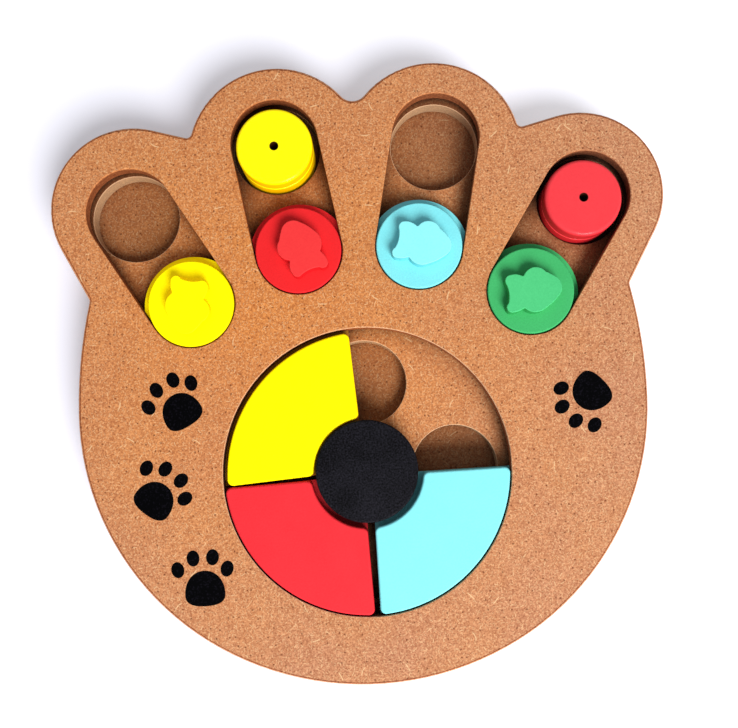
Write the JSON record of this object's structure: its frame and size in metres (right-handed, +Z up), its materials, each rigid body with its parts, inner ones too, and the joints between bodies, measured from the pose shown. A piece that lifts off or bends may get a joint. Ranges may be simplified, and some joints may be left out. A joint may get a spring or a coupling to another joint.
{
  "type": "dog puzzle feeder",
  "caption": "Paw-shaped treat puzzle board whose sliders, lift-out plugs and turning shutters hide round treat pockets.",
  "frame": {"origin": "on the hub's axis, in the plane of the board's underside", "axes": "+Z up out of the board, +Y from the palm to the toes, +X to the right seen from above"},
  "size_m": [0.2793, 0.281, 0.0275],
  "materials": {
    "fibreboard": "raw medium-density fibreboard, fine fibres",
    "black_paint": "matt black paint",
    "yellow_paint": "matt yellow paint",
    "red_paint": "matt red paint",
    "blue_paint": "matt light blue paint",
    "green_paint": "matt green paint"
  },
  "bodies": {
    "board": {"base_plate": "fibreboard", "pocket_plate": "fibreboard", "track_plate": "fibreboard", "top_plate": "fibreboard", "hub_spindle": "black_paint", "hub_cap": "black_paint"},
    "slider_1": {"toe_1_flange": "yellow_paint", "toe_1_disc": "yellow_paint", "toe_1_fish": "yellow_paint"},
    "slider_2": {"toe_2_flange": "red_paint", "toe_2_disc": "red_paint", "toe_2_fish": "red_paint"},
    "slider_3": {"toe_3_flange": "blue_paint", "toe_3_disc": "blue_paint", "toe_3_fish": "blue_paint"},
    "slider_4": {"toe_4_flange": "green_paint", "toe_4_disc": "green_paint", "toe_4_fish": "green_paint"},
    "plug_2": {"toe_2_plug": "yellow_paint"},
    "plug_4": {"toe_4_plug": "red_paint"},
    "left_shutter": {"shutter_left_flange": "yellow_paint", "shutter_left": "yellow_paint"},
    "bottom_shutter": {"shutter_bottom_flange": "red_paint", "shutter_bottom": "red_paint"},
    "right_shutter": {"shutter_right_flange": "blue_paint", "shutter_right": "blue_paint"}
  },
  "joints": [
    {"name": "slider_1_slide", "type": "slide", "parent": "board", "child": "slider_1", "axis": [-0.5314, 0.8471, 0], "range_m": [0, 0.0508]},
    {"name": "slider_2_slide", "type": "slide", "parent": "board", "child": "slider_2", "axis": [-0.1857, 0.9826, 0], "range_m": [0, 0.0075]},
    {"name": "slider_3_slide", "type": "slide", "parent": "board", "child": "slider_3", "axis": [0.1857, 0.9826, 0], "range_m": [0, 0.0508]},
    {"name": "slider_4_slide", "type": "slide", "parent": "board", "child": "slider_4", "axis": [0.5314, 0.8471, 0], "range_m": [0, 0.0075]},
    {"name": "plug_2_lift", "type": "slide", "parent": "board", "child": "plug_2", "axis": [0, 0, 1], "range_m": [0, 0.03]},
    {"name": "plug_4_lift", "type": "slide", "parent": "board", "child": "plug_4", "axis": [0, 0, 1], "range_m": [0, 0.03]},
    {"name": "left_shutter_turn", "type": "hinge", "parent": "board", "child": "left_shutter", "pos_m": [0, 0, 0.012], "axis": [0, 0, 1], "range_deg": [-94, 0]},
    {"name": "bottom_shutter_turn", "type": "hinge", "parent": "board", "child": "bottom_shutter", "pos_m": [0, 0, 0.012], "axis": [0, 0, 1], "range_deg": [-0.2, 1.6]},
    {"name": "right_shutter_turn", "type": "hinge", "parent": "board", "child": "right_shutter", "pos_m": [0, 0, 0.012], "axis": [0, 0, 1], "range_deg": [0, 94]}
  ]
}
